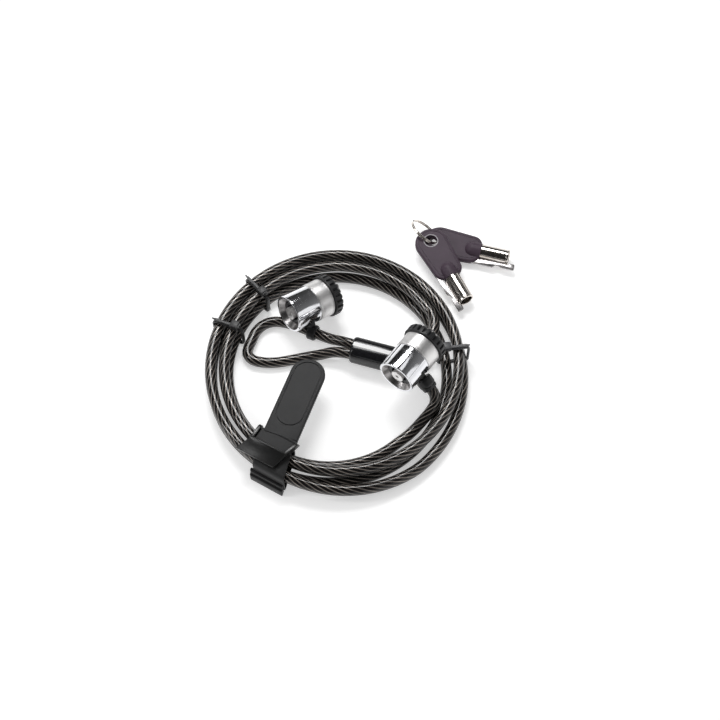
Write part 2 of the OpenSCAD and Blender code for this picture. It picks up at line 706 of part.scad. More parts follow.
cable_coil();
cable_lead();
cable_tail();
cable_loop();
crimp_sleeve();
crimp_ferrule();
fixed_swivel();
fixed_barrel();
fixed_collar();
fixed_grip_ring();
fixed_nose_plate();
fixed_slot_pins();
fixed_key_core();
fixed_key_pins();
fixed_pin_block();
fixed_driver_pins();
fixed_pin_springs();
fixed_retaining_clip();
fixed_t_bar();
sliding_swivel();
sliding_barrel();
sliding_collar();
sliding_grip_ring();
sliding_nose_plate();
sliding_slot_pins();
sliding_key_core();
sliding_key_pins();
sliding_pin_block();
sliding_driver_pins();
sliding_pin_springs();
sliding_retaining_clip();
sliding_t_bar();
key_1_bow();
key_1_tube();
key_1_blade();
key_2_bow();
key_2_tube();
key_2_blade();
split_ring();
cable_tie_1();
cable_tie_2();
cable_tie_3();
strap_band();
strap_buckle();
strap_tongue();
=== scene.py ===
from math import acos, atan2, ceil, cos, hypot, pi, radians, sin, tau
import bmesh
import bpy
from mathutils import Matrix, Vector


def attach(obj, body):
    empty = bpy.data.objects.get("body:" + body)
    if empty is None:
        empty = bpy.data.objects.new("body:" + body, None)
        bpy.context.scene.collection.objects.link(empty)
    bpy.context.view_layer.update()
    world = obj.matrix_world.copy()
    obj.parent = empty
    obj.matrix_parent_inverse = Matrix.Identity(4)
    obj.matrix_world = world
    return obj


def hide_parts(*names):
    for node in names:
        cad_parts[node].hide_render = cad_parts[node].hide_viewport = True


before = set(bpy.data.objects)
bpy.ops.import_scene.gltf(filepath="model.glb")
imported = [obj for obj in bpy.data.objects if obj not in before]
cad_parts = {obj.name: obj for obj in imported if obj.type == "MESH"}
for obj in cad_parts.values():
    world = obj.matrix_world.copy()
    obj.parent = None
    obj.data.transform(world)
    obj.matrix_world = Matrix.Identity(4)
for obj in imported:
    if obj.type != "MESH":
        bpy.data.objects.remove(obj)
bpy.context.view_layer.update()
mm = 0.001  # values below are in millimetres and degrees unless a note says otherwise


# small tools for meshes

def vec(*values):
    return Vector(values)


def turned(degrees, axis="Z"):
    return Matrix.Rotation(radians(degrees), 4, axis)


def roundAngles(count):
    # even steps once round, in radians
    return [tau * k / count for k in range(count)]


def added(name, data):
    obj = bpy.data.objects.new(name, data)
    bpy.context.scene.collection.objects.link(obj)
    return obj


def applied(*objects):
    # the first one's mesh with its modifiers, in place of all of them
    graph = bpy.context.evaluated_depsgraph_get()
    result = bpy.data.meshes.new_from_object(objects[0].evaluated_get(graph))
    for obj in objects:
        bpy.data.objects.remove(obj)
    return result


def keep(name, mesh, body, material, nodes=(), angle=35):
    # a finished piece: the body that it rides on, its finish and the CAD nodes that it replaces
    obj = added(name, mesh)
    mesh.materials.clear()
    mesh.materials.append(material)
    mesh.shade_smooth()
    mesh.set_sharp_from_angle(angle=radians(angle))
    if nodes:
        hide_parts(*nodes)
    if body:
        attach(obj, body)
    return obj


def meshOf(name, points, faces, place=None, pairs=None):
    mesh = bpy.data.meshes.new(name)
    place = place or Matrix.Identity(4)
    mesh.from_pydata([place @ Vector(p) * mm for p in points], [], faces)
    if pairs:  # one (u, v) for each corner of each face
        layer = mesh.uv_layers.new(name="run")
        for loop, pair in zip(layer.data, pairs):
            loop.uv = pair
    work = bmesh.new()
    work.from_mesh(mesh)
    bmesh.ops.remove_doubles(work, verts=work.verts, dist=1e-7)
    bmesh.ops.recalc_face_normals(work, faces=work.faces)
    work.to_mesh(mesh)
    work.free()
    return mesh


def joined(name, meshes):
    work = bmesh.new()
    for mesh in meshes:
        work.from_mesh(mesh)
    total = bpy.data.meshes.new(name)
    work.to_mesh(total)
    work.free()
    return total


def grid(name, rows, place=None, closedRows=False, caps=False, scale=(1, 1)):
    # closed rows of points, joined into a skin; u counts the rows and v the points of a row
    count = len(rows[0])
    points = [p for row in rows for p in row]
    faces, pairs = [], []
    last = len(rows) if closedRows else len(rows) - 1
    for i in range(last):
        j = (i + 1) % len(rows)
        for k in range(count):
            m = (k + 1) % count
            faces.append((i * count + k, j * count + k, j * count + m, i * count + m))
            u0, u1 = i * scale[0], (i + 1) * scale[0]
            v0, v1 = k * scale[1], (k + 1) * scale[1]
            pairs += [(u0, v0), (u1, v0), (u1, v1), (u0, v1)]
    if caps:
        faces.append(tuple(range(count)))
        faces.append(tuple(range((len(rows) - 1) * count, len(rows) * count)))
        pairs += [(0, 0)] * (2 * count)
    return meshOf(name, points, faces, place, pairs)


def oblong(left, right, low, high):
    return [(left, low), (right, low), (right, high), (left, high)]


def soften(outline, radius, steps=4):
    # rounds every corner of a closed outline of (x, y) points
    out = []
    for i, p in enumerate(outline):
        p = Vector(p)
        before = Vector(outline[i - 1]) - p
        after = Vector(outline[(i + 1) % len(outline)]) - p
        reach = min(radius, before.length * 0.45, after.length * 0.45)
        a, b = p + before.normalized() * reach, p + after.normalized() * reach
        for k in range(steps + 1):
            t = k / steps
            out.append(a * (1 - t) ** 2 + p * 2 * t * (1 - t) + b * t * t)
    return out


def lathe(name, outline, place, radius=0.15, steps=128):
    # turns a closed outline of (radius, height) points
    outline = soften(outline, radius)
    rows = [[(p.x * cos(a), p.x * sin(a), p.y) for p in outline] for a in roundAngles(steps)]
    return grid(name, rows, place, closedRows=True, scale=(1 / steps, 1 / len(outline)))


def loft(name, rows, place=None):
    return grid(name, rows, place, caps=True)


def carve(mesh, cutters):
    # cuts other closed meshes out of one
    base = added("carved", mesh)
    tools = [added("cutter", cutter) for cutter in cutters]
    for tool in tools:
        step = base.modifiers.new("cut", "BOOLEAN")
        step.object = tool
        step.solver = "EXACT"
    return applied(base, *tools)


def rod(radius, low, high, place=None, sides=32, at=(0, 0)):
    rows = [[(at[0] + radius * cos(a), at[1] + radius * sin(a), z) for a in roundAngles(sides)]
            for z in (low, high)]
    return loft("rod", rows, place)


def slab(outline, layers, place=None):
    # outline(inset) gives (x, y) points; layers are (inset, height)
    return loft("slab", [[(x, y, z) for x, y in outline(inset)] for inset, z in layers], place)


def alsoPaint(obj, material, place, nearest, farthest):
    # a second finish, for the faces that lie between two distances from an axis
    back, mesh = place.inverted(), obj.data
    mesh.materials.append(material)
    reach = [(back @ (v.co / mm)).xy.length for v in mesh.vertices]
    for face in mesh.polygons:
        if all(nearest < reach[v] < farthest for v in face.vertices):
            face.material_index = len(mesh.materials) - 1


def dressed(node, body, material, bevel=0.12):
    # a CAD solid's own shape with its edges broken
    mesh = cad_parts[node].data.copy()
    work = bmesh.new()
    work.from_mesh(mesh)
    bmesh.ops.remove_doubles(work, verts=work.verts, dist=2e-6)
    bmesh.ops.dissolve_limit(work, angle_limit=radians(1), verts=work.verts, edges=work.edges)
    work.to_mesh(mesh)
    work.free()
    for layer in list(mesh.uv_layers):
        mesh.uv_layers.remove(layer)
    obj = added("blank", mesh)
    edge = obj.modifiers.new("edge", "BEVEL")
    edge.width = bevel * mm
    edge.segments = 2
    edge.limit_method = "ANGLE"
    edge.angle_limit = radians(32)
    return keep(node + "Dressed", applied(obj), body, material, [node])


def paint(node, material):
    # a CAD piece that keeps its own shape
    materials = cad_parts[node].data.materials
    materials.clear()
    materials.append(material)


# shader expressions

class Socket:
    def __init__(self, tree, socket):
        self.tree = tree
        self.socket = socket

    def math(self, operation, *others):
        return self.tree.add("ShaderNodeMath", {"operation": operation}, [self, *others])

    def __add__(self, other):
        return self.math("ADD", other)

    def __sub__(self, other):
        return self.math("SUBTRACT", other)

    def __rsub__(self, other):
        return self.tree.add("ShaderNodeMath", {"operation": "SUBTRACT"}, [other, self])

    def __mul__(self, other):
        return self.math("MULTIPLY", other)

    def __truediv__(self, other):
        return self.math("DIVIDE", other)

    def __pow__(self, other):
        return self.math("POWER", other)

    __radd__ = __add__
    __rmul__ = __mul__

    def above(self, edge, soft):
        # 0 below the edge, 1 above it
        settings = {"interpolation_type": "SMOOTHSTEP"}
        return self.tree.add("ShaderNodeMapRange", settings, {0: self, 1: edge - soft, 2: edge + soft})


class Tree:
    def __init__(self, tree):
        self.tree = tree
        tree.nodes.clear()

    def add(self, kind, settings=None, values=(), out=0):
        node = self.tree.nodes.new(kind)
        for name, value in (settings or {}).items():
            setattr(node, name, value)
        pairs = values.items() if isinstance(values, dict) else enumerate(values)
        for key, value in pairs:
            target = node.inputs[key]
            if isinstance(value, Socket):
                self.tree.links.new(value.socket, target)
            elif value is not None:
                target.default_value = value
        return Socket(self, node.outputs[out]) if node.outputs else None

    def mix(self, factor, first, second):
        return self.add("ShaderNodeMix", {"data_type": "RGBA"}, {0: factor, 6: first, 7: second}, out=2)

    def noise(self, where, scale, detail=3, rough=0.5):
        values = {"Vector": where, "Scale": scale, "Detail": detail, "Roughness": rough}
        return self.add("ShaderNodeTexNoise", None, values)

    def split(self, where):
        parts = self.add("ShaderNodeSeparateXYZ", None, [where])
        return [Socket(self, output) for output in parts.socket.node.outputs]

    def bump(self, height, strength, distance):
        values = {"Height": height, "Strength": strength, "Distance": distance * mm}
        return self.add("ShaderNodeBump", None, values)

    def seen(self):
        # 1 where the camera looks, by itself or by way of metal or glass
        camera, glossy, through = (self.add("ShaderNodeLightPath", out=f"Is {kind} Ray")
                                   for kind in ("Camera", "Glossy", "Transmission"))
        return camera.math("MAXIMUM", glossy).math("MAXIMUM", through)


def rgb(*values):
    return (*values, 1)


def finish(name, build, **constants):
    material = bpy.data.materials.new(name)
    material.use_nodes = True
    tree = Tree(material.node_tree)
    values = {key.replace("_", " "): value for key, value in constants.items()}
    values.update(build(tree, tree.add("ShaderNodeTexCoord", out="Object")))
    shader = tree.add("ShaderNodeBsdfPrincipled", None, values)
    tree.add("ShaderNodeOutputMaterial", None, {"Surface": shader})
    return material


print("tools ready")


# camera

view = {
    "target": (-3.2, -4.3, 0),
    "elevation": 60,
    "distance": 600,
    "pixelsPerMm": 1.95,  # at the target, in a picture 720 pixels wide
    "pictureWidth": 720,
}


def makeCamera():
    camera = added("camera", bpy.data.cameras.new("camera"))
    tilt = radians(view["elevation"])
    back = Vector((0, -cos(tilt), sin(tilt)))
    camera.location = (Vector(view["target"]) + back * view["distance"]) * mm
    camera.rotation_euler = (pi / 2 - tilt, 0, 0)
    camera.data.sensor_width = 36
    camera.data.lens = 36 * view["pixelsPerMm"] * view["distance"] / view["pictureWidth"]
    camera.data.clip_start = 0.01
    bpy.context.scene.camera = camera


makeCamera()


# cable

cable = {
    "diameter": 5.5,
    "turnGap": 2.7,  # between neighbouring turns of one layer
    "layerGap": 0.5,
    "under": 1.1,  # height of the lowest turn above the desk
    "startRadius": 50.3,  # inside on the low layer
    "endRadius": 54.5,  # inside on the high layer
    "turns": 3.75,
    "lowTurns": 1.995,
    "rise": 70,  # sweep over which it climbs from layer to layer
    "oval": 1.035,
    "startAt": -52,  # direction of the coil's start
    "middle": (-16.7, -13.2),
    "highShift": (2.6, 2.9),  # of the high layer from the low one
    "coilStep": 5,  # sweep from point to point of the coil's route
    "step": 1.5,  # along the cable, from ring to ring
    "sides": 20,
    "strands": 9,
    "wires": 64,  # fine ones, round the cable
    "lay": 45,  # length in which a strand goes once round
    "lead": ((33.6, -31.4, 11.8), (33.6, -34.6, 9.6), (31.2, -38.2, 7.6), (27.6, -42, 5.7),
             (23.9, -45.9, 4.4)),
    "tail": ((35, 12, 9.7), (34.2, 6.8, 9.4), (32.6, 1.4, 9.1), (30.4, -3.2, 8.6), (27.4, -7, 8.1),
             (23.8, -9.5, 7.7), (20, -10.6, 7.6)),
    "loop": ((-12.8, 3, 6.6), (-18.4, 5.3, 5.1), (-27.5, 9.5, 4.8), (-36.6, 13.7, 4.4),
             (-42, 15.9, 3.6), (-47.6, 16.9, 3), (-53, 15.2, 2.8), (-57, 10.8, 2.8),
             (-58.9, 5.6, 2.8), (-60.4, 1.4, 2.8), (-60.7, -2.4, 2.8), (-57.8, -5.9, 2.8),
             (-52, -7.4, 2.8), (-46, -7.4, 2.8), (-39, -6.2, 2.8), (-31, -4.6, 3.2),
             (-23.7, -3.7, 4.2), (-16.6, -3.3, 6.2)),
}
pitch = cable["diameter"] + cable["turnGap"]
lowTurn = cable["under"] + cable["diameter"] / 2
sleeve = {
    "middle": (4, -5.8, 7.6),
    "azimuth": -17,
    "length": 24,
    "width": 12.6,
    "height": 12,
    "crimp": 14,
    "legs": 5.9,  # between the two legs of the loop
    "mouths": 0.15,  # clear space round each leg
    "mouthDepth": 5,
    "edge": 1.8,
    "stripe": (21, 2.3),
    "stripeAt": (-0.6, 0.1),
}


def sleevePoint(x, y):
    a = radians(sleeve["azimuth"])
    return Vector(sleeve["middle"]) + vec(x * cos(a) - y * sin(a), x * sin(a) + y * cos(a), 0)


def coilPoint(sweep):
    # out on the low layer, then in on the high layer
    low, whole = cable["lowTurns"] * 360, cable["turns"] * 360
    outer = cable["startRadius"] + pitch * cable["lowTurns"]
    radius = cable["startRadius"] + pitch * sweep / 360
    if sweep > low:
        radius = cable["endRadius"] + (outer - cable["endRadius"]) * (whole - sweep) / (whole - low)
    climb = min(1, max(0, (sweep - low) / cable["rise"]))
    a = radians(cable["startAt"] - sweep)
    x, y = (m + s * climb for m, s in zip(cable["middle"], cable["highShift"]))
    height = lowTurn + (cable["diameter"] + cable["layerGap"]) * climb
    return vec(x + radius * cos(a), y + cable["oval"] * radius * sin(a), height)


def coilRoute():
    sweep = cable["turns"] * 360
    count = ceil(sweep / cable["coilStep"])
    return [coilPoint(sweep * i / count) for i in range(count + 1)]


def coilHeading(sweep):
    a = radians(cable["startAt"] - sweep)
    return vec(sin(a), -cable["oval"] * cos(a), 0).normalized()


def evenly(points, step, fine=0.3):
    # a smooth curve through the points, traced in fine parts and then cut at even steps
    line = []
    for i in range(len(points) - 1):
        p0, p1 = points[max(i - 1, 0)], points[i]
        p2, p3 = points[i + 1], points[min(i + 2, len(points) - 1)]
        t1 = (p1 - p0).length ** 0.5
        t2 = t1 + (p2 - p1).length ** 0.5
        t3 = t2 + (p3 - p2).length ** 0.5
        parts = max(4, ceil((p2 - p1).length / fine))
        for k in range(parts):
            t = t1 + (t2 - t1) * k / parts
            b1 = p1 if t1 == 0 else p0.lerp(p1, t / t1)
            b2 = p1.lerp(p2, (t - t1) / (t2 - t1))
            b3 = p2 if t3 == t2 else p2.lerp(p3, (t - t2) / (t3 - t2))
            c1 = b1.lerp(b2, t / t2)
            c2 = b2.lerp(b3, (t - t1) / (t3 - t1))
            line.append(c1.lerp(c2, (t - t1) / (t2 - t1)))
    line.append(points[-1])
    runs = [0]
    for a, b in zip(line, line[1:]):
        runs.append(runs[-1] + (b - a).length)
    count = max(2, round(runs[-1] / step))
    out, k = [], 0
    for i in range(count + 1):
        goal = runs[-1] * i / count
        while k < len(runs) - 2 and runs[k + 1] < goal:
            k += 1
        span = runs[k + 1] - runs[k]
        out.append(line[k].lerp(line[k + 1], (goal - runs[k]) / span if span else 0))
    return out, runs[-1]


def tube(name, path, radius, sides):
    # v runs once round, u along in millimetres
    rows = []
    for i, p in enumerate(path):
        ahead = path[min(i + 1, len(path) - 1)] - path[max(i - 1, 0)]
        side = ahead.cross(vec(0, 0, 1)).normalized()
        up = side.cross(ahead).normalized()
        rows.append([p + (side * cos(a) + up * sin(a)) * radius for a in roundAngles(sides)])
    step = (path[1] - path[0]).length
    return grid(name, rows, caps=True, scale=(step, 1 / sides))


lockFrames = {
    # a point on the axis level with the cable (None: it follows from the eye), the head's tilt,
    # azimuth and roll
    "fixed": ((20.4, -19.9, 24.1), 90, 53.4, -54),
    "sliding": (None, 101, 37, -38.7),
}
lock = {
    "cableLevel": 10.4,  # along the head's axis, from the key face
    "barrelRadius": 9.8,
    "eye": (-27.5, 9.5, 4.8),
    "eyeReach": 14.7,
    "eyeAim": (18.2, -8.4, 0.7),  # along the loop's leg
    "bootReach": 14,
    "bootAim": (0.62, -0.6, -0.5),
}


def headPlace(which):
    point, tilt, azimuth, roll = lockFrames[which]
    turn = turned(azimuth) @ turned(tilt, "Y") @ turned(roll)
    if point is None:
        point = Vector(lock["eye"]) - turn @ vec(lock["eyeReach"], 0, 0)
    return Matrix.Translation(point) @ turn @ Matrix.Translation((0, 0, -lock["cableLevel"]))


bootAim = Vector(lock["bootAim"]).normalized()
bootAt = headPlace("fixed") @ vec(lock["bootReach"], 0, lock["cableLevel"])


def cableRoute():
    coil = coilRoute()
    wayIn, wayOut = coilHeading(0), coilHeading(cable["turns"] * 360)
    d = cable["diameter"]
    lead, tail = ([Vector(p) for p in cable[part]] for part in ("lead", "tail"))
    start = [bootAt - bootAim * 0.5, bootAt + bootAim * 4.2]
    end = [sleevePoint(sleeve["length"] / 2, 0), sleevePoint(sleeve["crimp"] / 2, 0)]
    lead += [coil[0] - wayIn * (d + 2), coil[0] - wayIn * d]
    tail = [coil[-1] + wayOut * d, coil[-1] + wayOut * (d + 2)] + tail
    return start + lead + coil + tail + end


def loopRoute():
    half, side = sleeve["length"] / 2, sleeve["legs"] / 2
    bend = [Vector(p) for p in cable["loop"]]
    start = [sleevePoint(-sleeve["crimp"] / 2, side), sleevePoint(-half - 1, side)]
    end = [sleevePoint(-half - 1, -side), sleevePoint(-sleeve["crimp"] / 2, -side)]
    return start + bend + end


def jacketFinish():
    def build(tree, where):
        along, around, _ = tree.split(tree.add("ShaderNodeTexCoord", out="UV"))
        strands, wires, lay = cable["strands"], cable["wires"], cable["lay"]
        place = (around * strands + along * (strands / lay)).math("FRACT") * 2 - 1
        crown = (1 - place * place).math("MAXIMUM", 0).math("SQRT")
        place = (around * wires + along * (wires / lay / 2)).math("FRACT") * 2 - 1
        wire = (1 - place * place).math("MAXIMUM", 0)
        cloud = tree.noise(where, 110, 3)
        # pale steel along each strand's crown, seen through the jacket and brightened as a painted
        # highlight; the cloud breaks the highlight up
        lit = crown.above(0.965, 0.035) * (cloud.above(0.5, 0.2) * 0.6 + 0.4)
        dark = tree.mix(wire * 0.4, rgb(0.0015, 0.0012, 0.0014), rgb(0.008, 0.0065, 0.006))
        return {
            "Base Color": tree.mix(lit, dark, rgb(0.3, 0.266, 0.238)),
            "Metallic": lit * 0.5,
            "Roughness": 0.42 - lit * 0.14,
            "Normal": tree.bump(crown + wire * 0.04, 0.8, 0.6),
        }
    return finish("smokeJacket", build, Specular_IOR_Level=0.1, Coat_Weight=0.75, Coat_Roughness=0.05,
                  Coat_IOR=1.5)


jacket = jacketFinish()


def makeCables():
    routes = [
        ("cable", cableRoute(), ["cable_coil", "cable_lead", "cable_tail"], "coiled"),
        ("cableLoop", loopRoute(), ["cable_loop"], "loose"),
    ]
    for name, route, nodes, lay in routes:
        path, length = evenly(route, cable["step"])
        mesh = tube(name, path, cable["diameter"] / 2, cable["sides"])
        obj = keep(name, mesh, "cable_set", jacket, nodes, angle=60)
        line = [list(p * mm) for p in path]
        length * mm
        print(f"{name}: {length / 1000:.3f} m")


makeCables()
print("cables laid")


# finishes

def chromeFinish():
    def build(tree, where):
        smear = tree.noise(where, 260, 4, 0.6)
        return {
            "Base Color": tree.mix(smear, rgb(0.74, 0.75, 0.78), rgb(0.86, 0.86, 0.88)),
            "Roughness": 0.09 + smear.above(0.62, 0.12) * 0.1,
            "Normal": tree.bump(tree.noise(where, 700, 2), 0.04, 0.05),
        }
    return finish("polishedChrome", build, Metallic=1)


def satinFinish():
    def build(tree, where):
        grain = tree.noise(where, 1500, 3, 0.6)
        patch = tree.noise(where, 240, 3)
        return {
            "Base Color": tree.mix(patch, rgb(0.74, 0.73, 0.73), rgb(0.9, 0.89, 0.88)),
            "Roughness": 0.36 + grain * 0.16,
            "Normal": tree.bump(grain, 0.22, 0.06),
        }
    return finish("blastedSatin", build, Metallic=1)


def groundSteelFinish():
    def build(tree, where):
        scratch = tree.add("ShaderNodeVectorMath", {"operation": "MULTIPLY"}, [where, (1, 9, 1)])
        line = tree.noise(scratch, 900, 3, 0.7)
        return {
            "Base Color": tree.mix(line, rgb(0.3, 0.29, 0.3), rgb(0.6, 0.58, 0.57)),
            "Roughness": 0.2 + line * 0.2,
            "Normal": tree.bump(line, 0.15, 0.05),
        }
    return finish("groundSteel", build, Metallic=1)


def nickelFinish():
    def build(tree, where):
        smear = tree.noise(where, 420, 4, 0.6)
        return {
            "Base Color": tree.mix(smear, rgb(0.62, 0.57, 0.52), rgb(0.83, 0.79, 0.75)),
            "Roughness": 0.1 + smear * 0.14,
            "Normal": tree.bump(smear, 0.06, 0.05),
        }
    return finish("wornNickel", build, Metallic=1)


def brassFinish():
    def build(tree, where):
        stain = tree.noise(where, 500, 3)
        return {
            "Base Color": tree.mix(stain, rgb(0.45, 0.29, 0.1), rgb(0.78, 0.58, 0.26)),
            "Roughness": 0.2 + stain * 0.2,
        }
    return finish("turnedBrass", build, Metallic=1)


def plasticFinish(name, dark, pale, rough, grainSize, depth, **constants):
    def build(tree, where):
        grain = tree.noise(where, grainSize, 4, 0.65)
        patch = tree.noise(where, 130, 2)
        return {
            "Base Color": tree.mix(patch, rgb(*dark), rgb(*pale)),
            "Roughness": rough + grain * 0.14,
            "Normal": tree.bump(grain, depth, 0.08),
        }
    return finish(name, build, **constants)


def sleeveFinish():
    def build(tree, where):
        grain = tree.noise(where, 800, 3)
        return {
            "Base Color": tree.mix(grain, rgb(0.006, 0.006, 0.007), rgb(0.013, 0.013, 0.015)),
            "Roughness": 0.14 + grain * 0.1,
            "Normal": tree.bump(grain, 0.04, 0.05),
        }
    return finish("glossBlack", build, Specular_IOR_Level=0.45)


chrome = chromeFinish()
satin = satinFinish()
steel = groundSteelFinish()
# near black for the keyway round the post: painted shade of the recess
keywayShade = plasticFinish("keywayShade", (0.02, 0.02, 0.022), (0.05, 0.05, 0.052), 0.28, 900, 0.1)
nickel = nickelFinish()
brass = brassFinish()
sleeveBlack = sleeveFinish()
gripBlack = plasticFinish("gripBlack", (0.01, 0.01, 0.011), (0.02, 0.02, 0.021), 0.38, 900, 0.25)
lugBlack = plasticFinish("lugBlack", (0.009, 0.009, 0.01), (0.018, 0.018, 0.019), 0.3, 600, 0.15)
bowGrey = plasticFinish("bowGrey", (0.048, 0.031, 0.046), (0.068, 0.045, 0.065), 0.44, 1100, 0.3,
                        Specular_IOR_Level=0.3)
# a pale grey for the bead round each key's ring hole: a painted highlight on the hole's rim
rimHighlightGrey = plasticFinish("bowRimHighlight", (0.3, 0.28, 0.31), (0.42, 0.4, 0.42), 0.4, 900, 0.2)
tieBlack = plasticFinish("tieBlack", (0.012, 0.012, 0.013), (0.022, 0.022, 0.023), 0.36, 700, 0.15)
# grey for one tie: partly a paler tie, partly a painted highlight like the one on its head
tieGreyHighlight = plasticFinish("tieGreyHighlight", (0.05, 0.05, 0.054), (0.1, 0.1, 0.105), 0.34, 700, 0.15)
rubber = plasticFinish("strapRubber", (0.01, 0.01, 0.0105), (0.017, 0.017, 0.018), 0.46, 1300, 0.3,
                       Specular_IOR_Level=0.32, Sheen_Weight=0.08, Sheen_Roughness=0.5)
buckleBlack = plasticFinish("buckleBlack", (0.008, 0.008, 0.008), (0.014, 0.014, 0.014), 0.24, 500, 0.02)
# white for the stripe on the sleeve: a plain print that is also a painted highlight along the sleeve's top
printAndHighlightWhite = plasticFinish("printAndHighlightWhite", (0.72, 0.72, 0.72), (0.82, 0.82, 0.82), 0.35, 900, 0.08)
print("finishes mixed")


# crimp sleeve

def barSection(width, height, inset, corner=4.6, steps=6):
    # rounded oblong across the sleeve, as (y, z)
    w, h = width / 2 - inset, height / 2 - inset
    r = max(0.4, corner - inset)
    out = []
    for cy, cz, start in ((w - r, h - r, 0), (r - w, h - r, 90), (r - w, r - h, 180), (w - r, r - h, 270)):
        for k in range(steps + 1):
            a = radians(start + 90 * k / steps)
            out.append((cy + r * cos(a), cz + r * sin(a)))
    return out


def makeSleeve():
    place = Matrix.Translation(sleeve["middle"]) @ turned(sleeve["azimuth"])
    half, edge = sleeve["length"] / 2, sleeve["edge"]
    bends = [radians(90 * k / 6) for k in range(7)]
    ends = [(-half + edge * (1 - sin(a)), edge * (1 - cos(a))) for a in reversed(bends)]
    profile = ends + [(-x, inset) for x, inset in reversed(ends)]
    rows = [[(x, y, z) for y, z in barSection(sleeve["width"], sleeve["height"], inset)]
            for x, inset in profile]
    body = loft("crimpSleeve", rows, place)
    across = turned(90, "Y")
    bore = cable["diameter"] / 2 + sleeve["mouths"]
    legs = sleeve["legs"] / 2
    deep = sleeve["mouthDepth"]
    cutters = [rod(bore, -half - 2, -half + deep, place @ Matrix.Translation((0, s * legs, 0)) @ across)
               for s in (-1, 1)]
    cutters.append(rod(bore, half - deep, half + 2, place @ across))
    keep("crimpSleeve", carve(body, cutters), "cable_set", sleeveBlack, ["crimp_sleeve"])
    # a plain white stripe on the sleeve's top: print, and a painted highlight along the top as well
    x, y = sleeve["stripeAt"]
    top = sleeve["height"] / 2

    def outline(inset):
        w, h = (size / 2 - inset for size in sleeve["stripe"])
        return soften(oblong(x - w, x + w, y - h, y + h), 0.3)

    keep("sleeveStripe", slab(outline, [(0, top - 0.35), (0, top), (0.05, top + 0.05)], place),
         "cable_set", printAndHighlightWhite)


makeSleeve()
paint("crimp_ferrule", steel)
print("sleeve crimped")


# lock heads

head = {
    "barrelLength": 14,
    "rim": 1.5,
    "dish": 2.6,
    "bore": 6.4,
    "well": 8.2,
    "wellStart": 6.2,
    "edge": 0.3,
    "window": (57, 7.8, 13),  # half angle, low and high edge
    "pits": 4,  # small ones in the rim
    "pitRadius": 0.35,
    "pitDepth": 0.4,
    "collarRadius": 10,
    "collarEnd": 22.4,
    "gripEnd": 27.4,
    "gripRadius": 11.1,
    "gripStub": 8.6,
    "ribs": 22,
    "ribDepth": 1.2,
    "ribShape": (0.52, 0.2),  # shares of the pitch: a rib's top, and its two flanks together
    "post": 3.3,  # radius of the keyway's middle
    "swivel": (6.42, 7.9, 6.6, 12.9),  # inner and outer radius, low and high end
    "stem": (5, 4.4),  # width and height
}


def makeBarrel(which, place):
    r, edge = lock["barrelRadius"], head["edge"]
    inner = r - head["rim"]
    long, bore, well = head["barrelLength"], head["bore"], head["well"]
    outline = [(inner, edge), (inner + edge, 0), (r - edge, 0), (r, edge), (r, long - edge),
               (r - edge, long), (well, long), (well, head["wellStart"]), (bore, head["wellStart"]),
               (bore, head["dish"])]
    body = lathe("barrel", outline, place, radius=0.2, steps=160)
    spread, low, high = head["window"]
    arc = [radians(-spread + 2 * spread * k / 24) for k in range(25)]
    rows = [[(q * cos(a), q * sin(a), z) for q, z in oblong(well - 1, r + 2, low, high)] for a in arc]
    cutters = [loft("window", rows, place)]
    for k in range(head["pits"]):
        a = tau * (k + 0.5) / head["pits"]
        middle = r - head["rim"] / 2
        cutters.append(rod(head["pitRadius"], -1, head["pitDepth"], place, sides=24,
                           at=(middle * cos(a), middle * sin(a))))
    obj = keep(which + "Barrel", carve(body, cutters), which + "_lock_body", chrome,
               [which + "_barrel"])
    # the dish and bore take the darker ground steel, a darker metal that stands in for the shade in the
    # dish
    alsoPaint(obj, steel, place, 0, inner + edge)


def makeCollar(which, place):
    r, edge = head["collarRadius"], head["edge"]
    low, end, bore, stub = head["barrelLength"], head["collarEnd"], head["bore"], head["gripStub"]
    outline = [(bore, low - 0.8), (head["well"] - 0.05, low - 0.8), (head["well"] - 0.05, low),
               (r - edge, low), (r, low + edge), (r, low + 0.9), (r - 0.14, low + 1.05),
               (r, low + 1.2), (r, end - 1.3), (r - 0.12, end - 1.15), (r, end - 1), (r, end - edge),
               (r - edge, end), (stub, end), (stub, end + 2.6), (1.8, end + 2.6), (1.8, end - 0.7),
               (bore, end - 0.7)]
    body = lathe("collar", outline, place, radius=0.12, steps=160)
    keep(which + "Collar", body, which + "_lock_body", satin, [which + "_collar"])


def makeGrip(which, place):
    low, end, top, depth = head["collarEnd"], head["gripEnd"], head["gripRadius"], head["ribDepth"]
    stub, (land, flank), fine = head["gripStub"], head["ribShape"], 16
    steps = head["ribs"] * fine
    rows = []
    for i in range(steps):
        part = i / fine % 1
        groove = 1 - min(1, max(0, (abs(part - 0.5) * 2 - land) / flank))
        groove = 1 - groove * groove * (3 - 2 * groove)
        a = tau * i / steps
        ring = []
        for r, z, share in ((stub, low, 0), (top - 0.35, low, 0), (top - 0.1, low + 0.12, 0),
                            (top, low + 0.35, 0), (top, low + 0.7, 0), (top, low + 1, 0.6),
                            (top, low + 1.3, 1), (top, end - 1.2, 1), (top - 0.25, end - 0.7, 1),
                            (top - 0.5, end - 0.3, 1), (top - 0.9, end, 1), (top - 1.3, end, 0.8),
                            (stub, end, 0)):
            q = r - depth * groove * share
            ring.append((q * cos(a), q * sin(a), z))
        rows.append(ring)
    body = grid("grip", rows, place, closedRows=True)
    keep(which + "GripRing", body, which + "_lock_body", gripBlack, [which + "_grip_ring"],
         angle=50)


